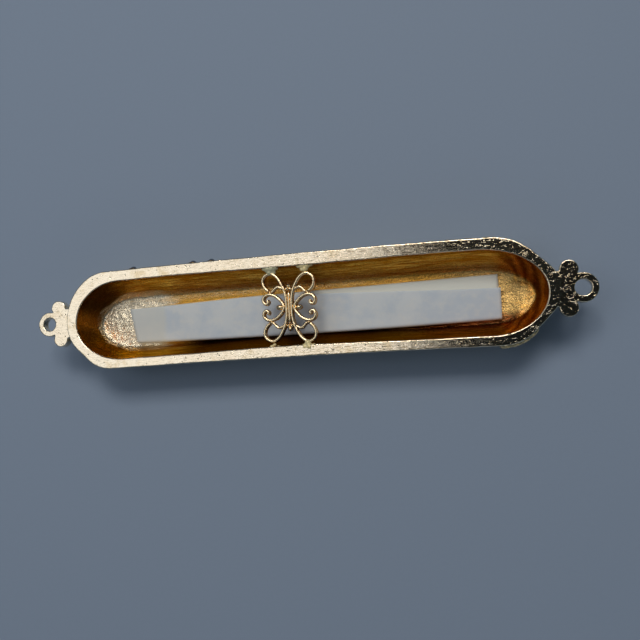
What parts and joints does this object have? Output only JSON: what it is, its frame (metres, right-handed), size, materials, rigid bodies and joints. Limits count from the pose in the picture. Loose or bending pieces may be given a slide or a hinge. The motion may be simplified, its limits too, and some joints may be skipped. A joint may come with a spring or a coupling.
{
  "type": "mezuzah case",
  "caption": "Slender open-backed door-post case with hanging rings, a filigree bridge soldered across its back and a flat-pressed parchment scroll lying loose inside.",
  "frame": {"origin": "on the plane that the front border rests on, under the middle of the case", "axes": "+X along the case from one hanging ring to the other, +Z out of the open back, +Y across"},
  "size_m": [0.102, 0.0197, 0.0095],
  "materials": {
    "cast_gold": "gold-toned casting, filed flat and scratched on the back rim, rough and amber inside",
    "wire_gold": "pale gold polished wire with brown shading between the wires",
    "solder": "dull cream to greenish solder",
    "parchment": "smooth matt sheet, cool grey-white",
    "crystal": "small dark faceted stones"
  },
  "bodies": {
    "case": {"case_shell": "cast_gold", "bridge_wire_left": "wire_gold", "bridge_wire_right": "wire_gold", "bridge_heart_left": "wire_gold", "bridge_heart_right": "wire_gold", "bridge_bar": "wire_gold", "bridge_curl_upper_left": "wire_gold", "bridge_collar_upper_left": "wire_gold", "bridge_curl_upper_right": "wire_gold", "bridge_collar_upper_right": "wire_gold", "bridge_curl_lower_left": "wire_gold", "bridge_collar_lower_left": "wire_gold", "bridge_curl_lower_right": "wire_gold", "bridge_collar_lower_right": "wire_gold", "bridge_granule_upper_left": "wire_gold", "bridge_granule_upper_right": "wire_gold", "bridge_granule_upper_crown": "wire_gold", "bridge_granule_lower_left": "wire_gold", "bridge_granule_lower_right": "wire_gold", "bridge_granule_lower_crown": "wire_gold", "bridge_drop_left": "wire_gold", "bridge_drop_right": "wire_gold", "solder_upper_left": "solder", "solder_upper_right": "solder", "solder_lower_left": "solder", "solder_lower_right": "solder", "crystal_edge_1": "crystal", "crystal_edge_2": "crystal", "crystal_edge_3": "crystal", "crystal_front_1": "crystal", "crystal_front_2": "crystal", "crystal_front_3": "crystal", "crystal_front_4": "crystal", "crystal_front_5": "crystal"},
    "scroll": {"parchment_scroll": "parchment"}
  },
  "joints": [
    {"name": "scroll_slide", "type": "slide", "parent": "case", "child": "scroll", "axis": [1, 0, 0], "range_m": [-0.0032, 0.002]}
  ]
}
